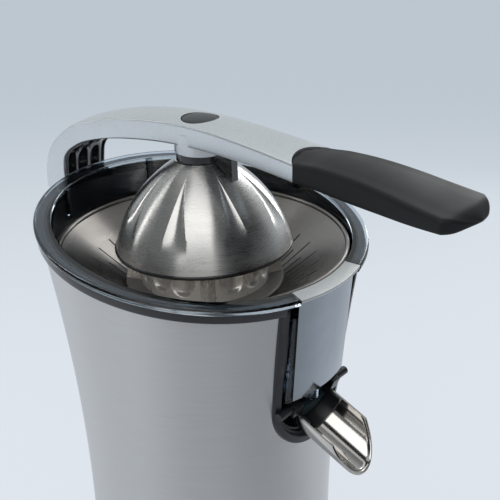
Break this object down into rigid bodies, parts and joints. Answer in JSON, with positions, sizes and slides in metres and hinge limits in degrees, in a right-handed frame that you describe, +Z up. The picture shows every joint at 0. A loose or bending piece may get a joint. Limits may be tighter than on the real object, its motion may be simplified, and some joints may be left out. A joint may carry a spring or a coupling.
{
  "type": "citrus press juicer",
  "caption": "Lever citrus press with a fluted dome over a finned reamer, clear juice bowl, steel strainer, tilting spout and a flared brushed-steel body.",
  "frame": {"origin": "on the body's upright axis, in the plane of the table", "axes": "+Z up along the reamer's axis, +X towards the spout and the grip, -X towards the arm's hinge"},
  "size_m": [0.2839, 0.186, 0.3094],
  "materials": {
    "brushed_steel_body": "horizontal brushing",
    "black_plastic": "fine satin",
    "foot_rubber": "matt",
    "clear_plastic": "clear moulded",
    "panel_mirror": "polished",
    "satin_silver": "die-cast, fine metallic silver paint",
    "dome_steel": "satin brushed round the axis",
    "polished_steel": "polished",
    "skirt_plastic": "satin grey",
    "gloss_black": "gloss",
    "grip_rubber": "soft touch",
    "dark_silicone": "silicone",
    "bright_steel": "turned",
    "bush_bronze": "sintered",
    "gear_plastic": "moulded",
    "case_plastic": "moulded",
    "motor_iron": "laminated",
    "copper_winding": "enamelled wire"
  },
  "bodies": {
    "housing": {"housing_shell": "brushed_steel_body", "collar": "black_plastic", "spout_frame": "black_plastic", "deck": "black_plastic", "base_plate": "black_plastic", "foot_ring": "foot_rubber", "base_screws": "bright_steel", "cord_gland": "black_plastic", "hinge_bracket": "black_plastic", "hinge_pin": "bright_steel", "juice_bowl": "clear_plastic", "spout_panel": "panel_mirror", "spout_cap": "satin_silver", "strainer": "dome_steel", "chute_pins": "bright_steel", "shaft_bush": "bush_bronze", "shaft_seal": "dark_silicone", "gearbox_base": "case_plastic", "gearbox_cover": "case_plastic", "gearbox_posts": "bright_steel", "gearbox_screws": "bright_steel", "output_bushes": "bush_bronze", "lay_pin": "bright_steel", "motor_can": "motor_iron", "motor_stator": "motor_iron", "motor_coils": "copper_winding", "motor_bushes": "bush_bronze", "micro_switch": "case_plastic", "switch_bracket": "motor_iron"},
    "arm": {"arm_casting": "satin_silver", "arm_inner_cover": "gloss_black", "grip": "grip_rubber", "dome_hub": "black_plastic", "dome_stud": "bright_steel", "press_dome": "dome_steel", "dome_gasket": "dark_silicone"},
    "button": {"release_button": "gloss_black"},
    "chute_unit": {"chute": "polished_steel", "chute_carrier": "black_plastic", "drip_stopper": "dark_silicone"},
    "motor_rotating": {"motor_rotor": "motor_iron", "motor_shaft": "bright_steel", "motor_pinion": "bright_steel", "cooling_fan": "case_plastic"},
    "lay": {"lay_gear": "gear_plastic", "lay_pinion": "gear_plastic"},
    "output": {"output_gear": "gear_plastic", "return_spring": "bright_steel"},
    "drive": {"drive_shaft": "bright_steel", "reamer": "polished_steel", "reamer_skirt": "skirt_plastic"},
    "plunger": {"switch_plunger": "case_plastic"}
  },
  "joints": [
    {"name": "arm_lift", "type": "hinge", "parent": "housing", "child": "arm", "pos_m": [-0.106, 0, 0.228], "axis": [0, -1, 0], "range_deg": [0, 75]},
    {"name": "button_press", "type": "slide", "parent": "arm", "child": "button", "axis": [0, 0, -1], "range_m": [0, 0.0025], "stiffness_N_per_m": 400, "springref_m": -0.003},
    {"name": "chute_flip", "type": "hinge", "parent": "housing", "child": "chute_unit", "pos_m": [0.0775, 0, 0.16671], "axis": [0, -1, 0], "range_deg": [0, 35]},
    {"name": "motor_spin", "type": "hinge", "parent": "housing", "child": "motor_rotating", "pos_m": [-0.02718, 0.02173, 0.06], "axis": [0, 0, 1], "continuous": true},
    {"name": "lay_spin", "type": "hinge", "parent": "housing", "child": "lay", "pos_m": [-0.033, 0, 0.105], "axis": [0, 0, 1], "continuous": true},
    {"name": "output_spin", "type": "hinge", "parent": "housing", "child": "output", "pos_m": [0, 0, 0.113], "axis": [0, 0, 1], "continuous": true},
    {"name": "shaft_press", "type": "slide", "parent": "output", "child": "drive", "axis": [0, 0, -1], "range_m": [0, 0.002], "stiffness_N_per_m": 4000, "springref_m": -0.004, "deforming": ["return_spring"]},
    {"name": "plunger_press", "type": "slide", "parent": "housing", "child": "plunger", "axis": [0, 0, -1], "range_m": [0, 0.002]}
  ],
  "couplings": [
    {"joint": "lay_spin", "follows": "motor_spin", "ratio": -0.25},
    {"joint": "output_spin", "follows": "motor_spin", "ratio": 0.055556},
    {"joint": "plunger_press", "follows": "shaft_press", "ratio": 1}
  ]
}
